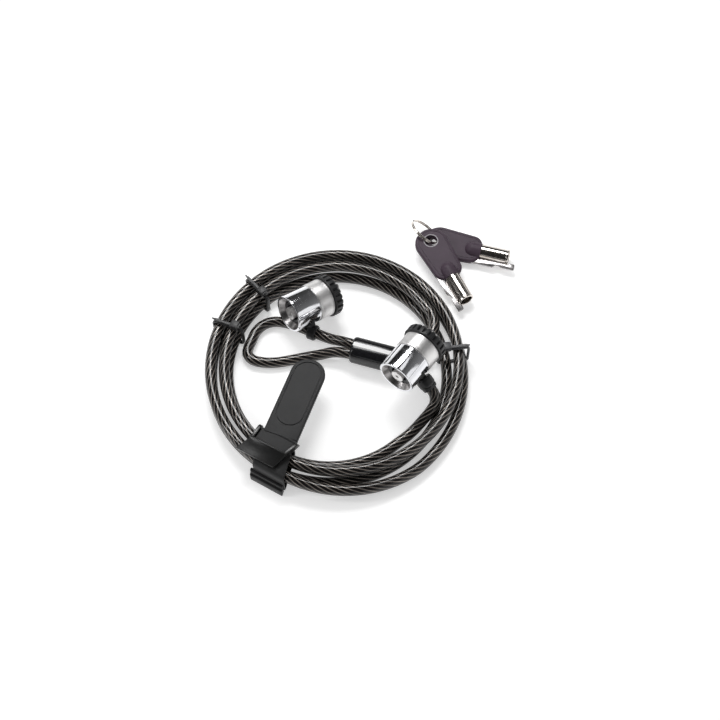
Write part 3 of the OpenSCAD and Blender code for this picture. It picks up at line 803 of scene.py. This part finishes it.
def stem(place, start, end):
    w, h = head["stem"][0] / 2, head["stem"][1] / 2
    rows = []
    for x, k in ((start, 1), (end - 3, 0.96), (end, 0.86)):
        section = soften(oblong(-w * k, w * k, -h * k, h * k), 0.9)
        rows.append([(x, p.x, lock["cableLevel"] + p.y) for p in section])
    return loft("stem", rows, place)


def aimed(point, direction):
    # a place whose +Z looks along direction
    turn = Vector(direction).to_track_quat("Z", "Y").to_matrix().to_4x4()
    return Matrix.Translation(point) @ turn


def makeSwivel(which, place):
    inner, outer, low, high = head["swivel"]
    ring = lathe("ring", oblong(inner, outer, low, high), place, radius=0.3)
    r = cable["diameter"] / 2
    if which == "fixed":
        reach, at, aim = lock["bootReach"], bootAt, bootAim
        outline = [(r + 0.15, -0.5), (r + 0.15, 3.4), (r + 0.9, 3.4), (r + 1, 2.6), (r + 1.15, 2.4),
                   (r + 1.15, 1.8), (r + 0.95, 1.6), (r + 1.4, 1), (r + 1.5, -2), (r + 1.1, -3.2),
                   (0, -3.2), (0, -0.5)]
        outline.reverse()
    else:
        reach, at = lock["eyeReach"], Vector(lock["eye"])
        aim = Vector(lock["eyeAim"]).normalized()
        outline = [(r + 0.3, -2.3), (r + 0.9, -2.3), (r + 1.4, -1.6), (r + 1.4, 1.6), (r + 0.9, 2.3),
                   (r + 0.3, 2.3)]
    shell = lathe("shell", outline, aimed(at, aim), radius=0.3, steps=64)
    arm = stem(place, inner + 0.3, reach - r - 0.6)
    body = joined(which + "Swivel", [ring, arm, shell])
    rider = "cable_set" if which == "fixed" else "sliding_eye"
    keep(which + "Swivel", body, rider, lugBlack, [which + "_swivel"])


def makeHead(which):
    place = headPlace(which)
    shell, core = which + "_lock_body", which + "_lock_core"
    makeBarrel(which, place)
    makeCollar(which, place)
    makeGrip(which, place)
    makeSwivel(which, place)
    dressed(which + "_nose_plate", shell, chrome)
    coreObj = dressed(which + "_key_core", core, satin, bevel=0.1)
    # the key core's face between the post and the well is painted near black, as painted shade in the
    # keyway's recess
    alsoPaint(coreObj, keywayShade, place, head["post"], head["well"])
    dressed(which + "_slot_pins", shell, steel)
    dressed(which + "_t_bar", core, steel)
    for part, material in (("pin_block", brass), ("key_pins", brass), ("driver_pins", steel),
                           ("pin_springs", steel), ("retaining_clip", steel)):
        paint(f"{which}_{part}", material)


for which in lockFrames:
    makeHead(which)
print("lock heads turned")


# keys

key = {
    "roundEnd": (1.4, 9),  # middle along the key, and radius
    "bow": 24,  # from the ring hole to the bow's straight end
    "corner": 5,
    "endWidth": 15.6,
    "thick": 3.4,
    "hole": 3.4,
    "tubeRadius": 4.2,
    "tubeWall": 0.85,
    "tubeStart": 20,
    "tubeEnd": 39.5,
    "boreStart": 25,
    "notches": (60, 250),  # their directions round the tube's end
    "notchRadius": 0.8,
    "bossRadius": 4.5,
    "bossAt": 19.6,
}
keyPlaces = {
    # ring hole, then roll, dip and azimuth
    1: ((34.76, 64.02, 7.9), (3.27, 4.54, -63.3)),
    2: ((38.53, 66.73, 4.13), (8.53, -1.41, -16.2)),
}


def bowOutline(inset, steps=20):
    cx, big = key["roundEnd"][0], key["roundEnd"][1] - inset
    small = key["corner"] - inset
    x, y = key["bow"] - key["corner"], key["endWidth"] / 2 - key["corner"]
    lean = atan2(y, x - cx) + acos((big - small) / hypot(x - cx, y))
    out = []
    for mx, my, r, first, last, count in ((cx, 0, big, lean, tau - lean, steps * 2),
                                          (x, -y, small, -lean, 0, steps), (x, y, small, 0, lean, steps)):
        for k in range(count + 1):
            a = first + (last - first) * k / count
            out.append((mx + r * cos(a), my + r * sin(a)))
    return out


def makeKey(number):
    at, (roll, dip, azimuth) = keyPlaces[number]
    place = Matrix.Translation(at) @ turned(azimuth) @ turned(dip, "Y") @ turned(roll, "X")
    lengthwise = place @ turned(90, "Y")
    body, name = f"key_{number}", f"key{number}"
    half = key["thick"] / 2
    upper = [(0, half - 0.85), (0.12, half - 0.5), (0.45, half - 0.16), (0.95, half), (1.5, half),
             (1.62, half - 0.22), (2, half - 0.22), (2.12, half - 0.04)]
    layers = [(inset, -z) for inset, z in reversed(upper)] + upper
    bow = carve(slab(bowOutline, layers, place), [rod(key["hole"], -9, 9, place, sides=48)])
    rise = [(key["bossRadius"] * sin(a), key["bossAt"] - key["bossRadius"] * cos(a))
            for a in (radians(90 * k / 12) for k in range(13))]
    outline = rise + [(key["bossRadius"], key["bow"] + 0.3), (0, key["bow"] + 0.3)]
    boss = lathe("boss", outline, lengthwise, radius=0.2, steps=64)
    keep(name + "Bow", joined(name + "Bow", [bow, boss]), body, bowGrey, [body + "_bow"])
    # a pale bead round the ring hole, on top and underneath: a painted highlight along the hole's rim
    for side, level in (("Top", half), ("Under", -half)):
        bead = oblong(key["hole"] + 0.02, key["hole"] + 0.55, level - 0.28, level + 0.16)
        if level < 0:
            bead = [(r, 2 * level - z) for r, z in bead]
        keep(name + "RimHighlight" + side, lathe("rimHighlightBead", bead, place, radius=0.16, steps=64), body,
             rimHighlightGrey)
    r, wall, end = key["tubeRadius"], key["tubeWall"], key["tubeEnd"]
    low, floor = key["tubeStart"], key["boreStart"]
    outline = [(0, low), (r, low), (r, end - 1.3), (r + 0.12, end - 1.1), (r + 0.12, end - 0.3),
               (r - 0.2, end), (r - wall + 0.15, end), (r - wall, end - 0.3), (r - wall, floor),
               (0, floor)]
    tubeMesh = lathe("tube", outline, lengthwise, radius=0.1, steps=96)
    notches = [rod(key["notchRadius"], end - 1.5, end + 1, lengthwise, sides=24,
                   at=(r * cos(a), r * sin(a))) for a in (radians(turn) for turn in key["notches"])]
    keep(name + "Tube", carve(tubeMesh, notches), body, nickel, [body + "_tube"])
    dressed(body + "_blade", body, steel, bevel=0.2)


for number in keyPlaces:
    makeKey(number)


ring = {
    "middle": (31.9, 71.6, 6.84),
    "lean": 43.7,
    "azimuth": 29.75,
    "radius": 8.59,
    "wire": 0.42,
    "turns": 2,
    "startAt": 120,
    "crossing": (335, 50),  # where the wire steps to its second turn, and over what sweep
}


def makeSplitRing():
    place = Matrix.Translation(ring["middle"]) @ turned(ring["azimuth"]) @ turned(ring["lean"], "Y")
    rows, count, wire = [], 240, ring["wire"]
    for i in range(count + 1):
        sweep = 360 * ring["turns"] * i / count
        t = min(1, max(0, (sweep - ring["crossing"][0]) / ring["crossing"][1]))
        z = (t * t * (3 - 2 * t) - 0.5) * 2 * (wire - 0.03)
        a = radians(sweep + ring["startAt"])
        out = vec(cos(a), sin(a), 0)
        rows.append([out * (ring["radius"] + wire * cos(b)) + vec(0, 0, z + wire * sin(b))
                     for b in roundAngles(12)])
    keep("splitRing", grid("splitRing", rows, place, caps=True), "key_ring", nickel,
         ["split_ring"])


makeSplitRing()
print("keys cut")


# ties and strap

def wrapPlace(azimuth):
    return Matrix.Translation((*cable["middle"], 0)) @ turned(azimuth)


def wrapBox(node, azimuth):
    # a CAD node's box in the axes of what wraps the bundle there: +X points away from the middle
    back = wrapPlace(azimuth).inverted()
    spots = [back @ (v.co / mm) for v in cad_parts[node].data.vertices]
    return [(min(s[i] for s in spots), max(s[i] for s in spots)) for i in range(3)]


def bandRows(near, far, low, high, width, thick, corner=2.6):
    # a flat band that runs once round an oblong, rows across its width
    corners = [(far - corner, low + corner, -90), (far - corner, high - corner, 0),
               (near + corner, high - corner, 90), (near + corner, low + corner, 180)]
    line = []
    for cx, cz, start in corners:
        for k in range(9):
            a = radians(start + 90 * k / 8)
            line.append((cx, cz, cos(a), sin(a)))
    half = width / 2
    section = [(0.1, 0.15 - half), (0, 0.3 - half), (0, half - 0.3), (0.1, half - 0.15), (0.25, half),
               (thick - 0.25, half), (thick - 0.05, half - 0.2), (thick, half - 0.45),
               (thick, 0.45 - half), (thick - 0.05, 0.2 - half), (thick - 0.25, -half), (0.25, -half)]
    return [[(cx + (corner - d) * nx, y, cz + (corner - d) * nz) for d, y in section]
            for cx, cz, nx, nz in line]


def boxy(size, middle, place, edge=0.3):
    # a block with broken edges and softened corners
    x, y, z = middle
    w, d, h = (s / 2 for s in size)

    def outline(inset):
        return soften(oblong(x - w + inset, x + w - inset, y - d + inset, y + d - inset), edge * 2)

    return slab(outline, [(edge, z - h), (edge * 0.3, z - h + edge * 0.3), (0, z - h + edge),
                          (0, z + h - edge), (edge * 0.3, z + h - edge * 0.3), (edge, z + h)], place)


ties = {
    "azimuths": (132, 158, 7.5),
    "over": (1.6, 1.2, 0.8),  # how far the tail passes the bundle's edge
    "width": 2,
    "thick": 1.1,
    "head": (4.2, 4.2, 3.2),
    "headIn": 3.4,
    "lift": 0.5,  # of the tail over the band
    "grey": 2,  # index of the one in grey, which is partly a painted highlight
}


def makeTie(index):
    azimuth, over = ties["azimuths"][index], ties["over"][index]
    node = f"cable_tie_{index + 1}"
    place = wrapPlace(azimuth)
    (near, tip), _, (low, high) = wrapBox(node, azimuth)
    far = tip - max(over, ties["thick"]) + ties["thick"]
    tip = far - ties["thick"] + over
    top = high - ties["head"][2]
    band = grid("band", bandRows(near, far, low, top, ties["width"], ties["thick"]), place,
                closedRows=True)
    x = near + ties["thick"] + ties["headIn"]
    wide, deep, tall = ties["head"]
    block = boxy((wide, deep, tall), (x, 0, top + tall / 2), place, edge=0.35)
    lip = boxy((1, deep - 1, 0.5), (x - wide / 2 - 0.2, 0, top + tall - 0.8), place, edge=0.15)
    rows, steps = [], 14
    half, z, start = ties["width"] / 2 - 0.3, top + ties["lift"], x - wide / 2 - 0.6
    for k in range(steps + 1):
        t = k / steps
        spot = start + (tip - start) * t
        w = half * min(1, max(0.25, (1 - t) * 7))
        rise = 0.9 * max(0, t - 0.6) ** 2
        rows.append([(spot, -w, z + rise), (spot, w, z + rise), (spot, w, z + rise + 0.8),
                     (spot, 0, z + rise + 0.9), (spot, -w, z + rise + 0.8)])
    tail = loft("tail", rows, place)
    slot, material = ("tie_grey", tieGreyHighlight) if index == ties["grey"] else ("tie_nylon", tieBlack)
    keep(f"cableTie{index + 1}", joined("tie", [band, block, lip, tail]), "cable_set", material,
         [node])


for index in range(len(ties["azimuths"])):
    makeTie(index)
print("ties pulled tight")


strap = {
    "azimuth": 240,
    "width": 17.5,
    "thick": 1.1,
    "keeper": (2.6, 7.4, 1.2),  # depth, height, step
    "keeperWidth": 18.4,
    "tongue": 44,
    "tongueThick": 2.6,
    "hinge": (-0.3, 0.8),  # outwards from the band's inner top edge, and the gap under the tongue
    "skew": 10,
    "slant": 0.3,  # sideways per step outwards, on the band
    "slip": 1.8,  # of the whole band, the other way
    "border": 1.6,
    "groove": (0.7, 0.4),  # width and depth
    "grooveStart": 5.5,
}


def makeStrapBand():
    place = wrapPlace(strap["azimuth"])
    (near, far), (left, right), (low, high) = wrapBox("strap_band", strap["azimuth"])
    deep, tall, step = strap["keeper"]
    outer = far - deep
    band = grid("band", bandRows(near, outer, low, high, strap["width"], strap["thick"]), place,
                closedRows=True)
    wide, sunk = strap["keeperWidth"], 0.6  # and how far the keeper's blocks reach into the band
    aside, short = (wide - right + left) / 2, tall - 2 * step
    foot = boxy((deep + sunk, wide, short), (far - (deep + sunk) / 2, aside, short / 2), place, edge=0.4)
    upper = boxy((deep - step + sunk, wide, tall), (outer + (deep - step - sunk) / 2, aside, tall / 2),
                 place, edge=0.4)
    whole, back = joined("strapBand", [band, foot, upper]), place.inverted()
    for v in whole.vertices:
        spot = back @ (v.co / mm)
        spot.y += strap["slant"] * (spot.x - near) - strap["slip"]
        v.co = place @ spot * mm
    keep("strapBand", whole, "cable_set", rubber, ["strap_band"])


buckle = {
    # outwards and up, from the band's inner top edge
    "crest": (7.7, 4.2),
    "lip": (15.7, 2.4),
    "back": 0.9,  # depth of the crest's upright side
    "sag": 0.5,
    "crestSides": (-12, 8),
    "lipSides": (-15.4, 5.6),
    "armSides": (-12, 10.2),  # at the arms' free ends
    "armStart": -0.8,
    "arm": 1.7,
    "run": (-9.9, 8.2, 3),  # the strap between the arms: its sides and top
}


def movedIn(outline, inset):
    # a closed outline, moved inwards
    out = []
    for i, p in enumerate(outline):
        before = (p - outline[i - 1]).normalized()
        after = (outline[(i + 1) % len(outline)] - p).normalized()
        inward = vec(-before.y - after.y, before.x + after.x).normalized()
        out.append(p + inward * inset)
    return out


def makeBuckle():
    (near, _), _, (_, high) = wrapBox("strap_band", strap["azimuth"])
    place = wrapPlace(strap["azimuth"]) @ Matrix.Translation((near + strap["thick"], 0, high))
    (cx, cz), (lx, lz) = buckle["crest"], buckle["lip"]
    slope = [(cx + (lx - cx) * t, cz + (lz - cz) * t - buckle["sag"] * sin(pi * t ** 0.7))
             for t in (k / 14 for k in range(15))]
    outline = [(cx, 0.02), (cx - buckle["back"], cz - 2), (cx - buckle["back"], cz - 0.4)] + slope
    smooth = soften(outline + [(lx, 1), (lx - 1, 0.02)], 0.5, steps=3)
    smooth.reverse()

    def side(x, share, off):
        t = (x - cx) / (lx - cx)
        ends = [a + (b - a) * t for a, b in zip(buckle["crestSides"], buckle["lipSides"])]
        return ends[0] + (ends[1] - ends[0]) * share + off

    rows = [[(p.x, side(p.x, share, off), p.y) for p in movedIn(smooth, inset)]
            for inset, share, off in ((0.45, 0, 0), (0.14, 0, 0.14), (0, 0, 0.45), (0, 1, -0.45),
                                      (0.14, 1, -0.14), (0.45, 1, 0))]
    parts = [loft("plate", rows, place)]
    start, wide = buckle["armStart"], buckle["arm"]
    for free, fixed, inward in zip(buckle["armSides"], buckle["crestSides"], (wide, -wide)):
        rows = []
        for x, top in ((start, 1.6), (start + 0.25, 2.3), (start + 1, 3.3), (start + 2, cz - 0.5),
                       (cx - 1, cz - 0.2), (cx + 0.8, cz - 0.5)):
            outer = free + (fixed - free) * (x - start) / (cx - start)
            left, right = sorted((outer, outer + inward))
            rows.append([(x, p.x, p.y) for p in soften(oblong(left, right, 0.02, top), 0.4)])
        parts.append(loft("arm", rows, place))
    keep("strapBuckle", joined("strapBuckle", parts), "cable_set", buckleBlack,
         ["strap_buckle"])
    left, right, top = buckle["run"]
    rows = [[(x, p.x, p.y) for p in soften(oblong(left, right - x * 0.1, 0.3, top), 0.5)]
            for x in (0.4, 0.7, 4, cx + 0.4)]
    keep("strapRun", loft("strapRun", rows, place), "cable_set", rubber)


def stadium(start, end, radius, steps=16):
    out = []
    for x, first in ((end, -90), (start, 90)):
        for k in range(steps + 1):
            a = radians(first + 180 * k / steps)
            out.append((x + radius * cos(a), radius * sin(a)))
    return out


def makeTongue():
    (near, _), _, (_, high) = wrapBox("strap_band", strap["azimuth"])
    out, lift = strap["hinge"]
    thick, half = strap["tongueThick"], strap["width"] / 2
    spot = (near + strap["thick"] + out, 0, high + lift + thick / 2)
    hinge = wrapPlace(strap["azimuth"]) @ Matrix.Translation(spot)
    place, reach = hinge @ turned(180 + strap["skew"]), strap["tongue"] - half

    def outline(inset):
        tip = [p for p in stadium(0, reach, half - inset) if p[0] > 0.01]
        return [(-0.4, inset - half)] + tip + [(-0.4, half - inset)]

    low, top = -thick / 2, thick / 2
    body = slab(outline, [(0.6, low), (0.2, low + 0.2), (0, low + 0.6), (0, top - 0.6), (0.07, top - 0.3),
                          (0.25, top - 0.1), (0.6, top)], place)
    wide, deep = strap["groove"]
    inner = half - strap["border"] - wide
    ends = strap["grooveStart"] + half - strap["border"], reach
    lanes = [stadium(*ends, inner + off) for off in (0.15, wide - 0.15, wide, 0)]
    rows = [[(*lane[k], z) for lane, z in zip(lanes, (top - deep, top - deep, top + 1, top + 1))]
            for k in range(len(lanes[0]))]
    tongue = carve(body, [grid("groove", rows, place, closedRows=True)])
    root = rod(thick / 2 - 0.05, -half, half, hinge @ turned(90, "X"))
    keep("strapTongue", joined("strapTongue", [tongue, root]), "tongue", rubber,
         ["strap_tongue"])


makeStrapBand()
makeBuckle()
makeTongue()
print("straps moulded")


# floor and light

studio = {
    "floor": 0.82,  # its grey, from 0 to 1
    "floorGlow": 0.42,  # what the camera sees on top of its light
    "fill": 0.48,  # the white world's strength as a light; the camera sees it at 1
    "key": 1.9,  # power, in watts
    "floorHalf": 1500,
    "fade": (170, 420),  # distances over which the floor turns into the white background
    "dim": (0.02, 0.2),  # glow of the tent, least and most
    "shade": (900, 12),  # radius of the dark tent, and its hem's elevation
    "windows": ((10, 56, 64, 74), (120, 150, 36, 52), (300, 350, 14, 36)),  # azimuths, elevations
    # each lamp's place, the point it looks at, its size and its share of the key's power
    "lamps": {
        "keyPanel": ((-60, 300, 520), (-15, -10, 0), (270, 180), 1),
        "sidePanel": ((-430, -60, 330), (0, 0, 0), (60, 260), 0.25),
    },
}


def makeShade():
    # a dark tent with windows, which only reflections see
    radius, hem = studio["shade"]
    cells, faces, step = [], [], 2
    for elevation in range(hem, 90, step):
        for azimuth in range(0, 360, step):
            if any(a <= azimuth < b and c <= elevation < d for a, b, c, d in studio["windows"]):
                continue
            for da, de in ((0, 0), (step, 0), (step, step), (0, step)):
                a, e = radians(azimuth + da), radians(elevation + de)
                cells.append((radius * cos(e) * cos(a), radius * cos(e) * sin(a), radius * sin(e)))
            faces.append(tuple(range(len(cells) - 4, len(cells))))
    mesh = meshOf("shade", cells, faces)

    def build(tree, where):
        # brighter towards one side
        x, _, z = tree.split(where)
        low, high = studio["dim"]
        slope = (x * 0.5 - z * 0.3) / (radius * mm) + 0.4
        return {"Emission Strength": slope.above(0.45, 0.4) * (high - low) + low}

    mesh.materials.append(finish("tentCloth", build, Base_Color=rgb(0, 0, 0), Specular_IOR_Level=0,
                                 Emission_Color=rgb(1, 1, 1)))
    obj = added("shade", mesh)
    obj.visible_camera = obj.visible_diffuse = obj.visible_shadow = obj.visible_transmission = False


def makeWorld():
    world = bpy.data.worlds.new("studio")
    bpy.context.scene.world = world
    world.use_nodes = True
    tree = Tree(world.node_tree)
    level = tree.seen() * (1 - studio["fill"]) + studio["fill"]
    light = tree.add("ShaderNodeBackground", None, {"Color": rgb(1, 1, 1), "Strength": level})
    tree.add("ShaderNodeOutputWorld", None, {"Surface": light})


def makeFloor():
    floor = bpy.data.materials.new("paleFloor")
    floor.use_nodes = True
    tree = Tree(floor.node_tree)
    shade = studio["floor"]
    shader = tree.add("ShaderNodeBsdfPrincipled", None, {
        "Base Color": rgb(shade, shade, shade), "Roughness": 0.9, "Specular IOR Level": 0,
        "Emission Color": rgb(1, 1, 1), "Emission Strength": tree.seen() * studio["floorGlow"]})
    x, y, _ = tree.split(tree.add("ShaderNodeTexCoord", out="Object"))
    near, far = (side * mm for side in studio["fade"])
    away = (x ** 2 + y ** 2).math("SQRT").above((near + far) / 2, (far - near) / 2)
    away = away * tree.add("ShaderNodeLightPath", out="Is Camera Ray")
    white = tree.add("ShaderNodeEmission", None, {"Color": rgb(1, 1, 1), "Strength": 1})
    shader = tree.add("ShaderNodeMixShader", None, [away, shader, white])
    tree.add("ShaderNodeOutputMaterial", None, {"Surface": shader})
    half = studio["floorHalf"]
    mesh = meshOf("floor", [(x, y, 0) for x, y in oblong(-half, half, -half, half)], [(0, 1, 2, 3)])
    mesh.materials.append(floor)
    added("floor", mesh)


def makeLamps():
    for name, (place, aim, size, share) in studio["lamps"].items():
        lamp = bpy.data.lights.new(name, "AREA")
        lamp.shape = "RECTANGLE"
        lamp.size, lamp.size_y = size[0] * mm, size[1] * mm
        lamp.energy = studio["key"] * share
        obj = added(name, lamp)
        obj.location = Vector(place) * mm
        obj.rotation_euler = (Vector(aim) - Vector(place)).to_track_quat("-Z", "Y").to_euler()


makeWorld()
makeFloor()
makeLamps()
makeShade()
bpy.context.scene.view_settings.view_transform = "Standard"
print("studio lit")
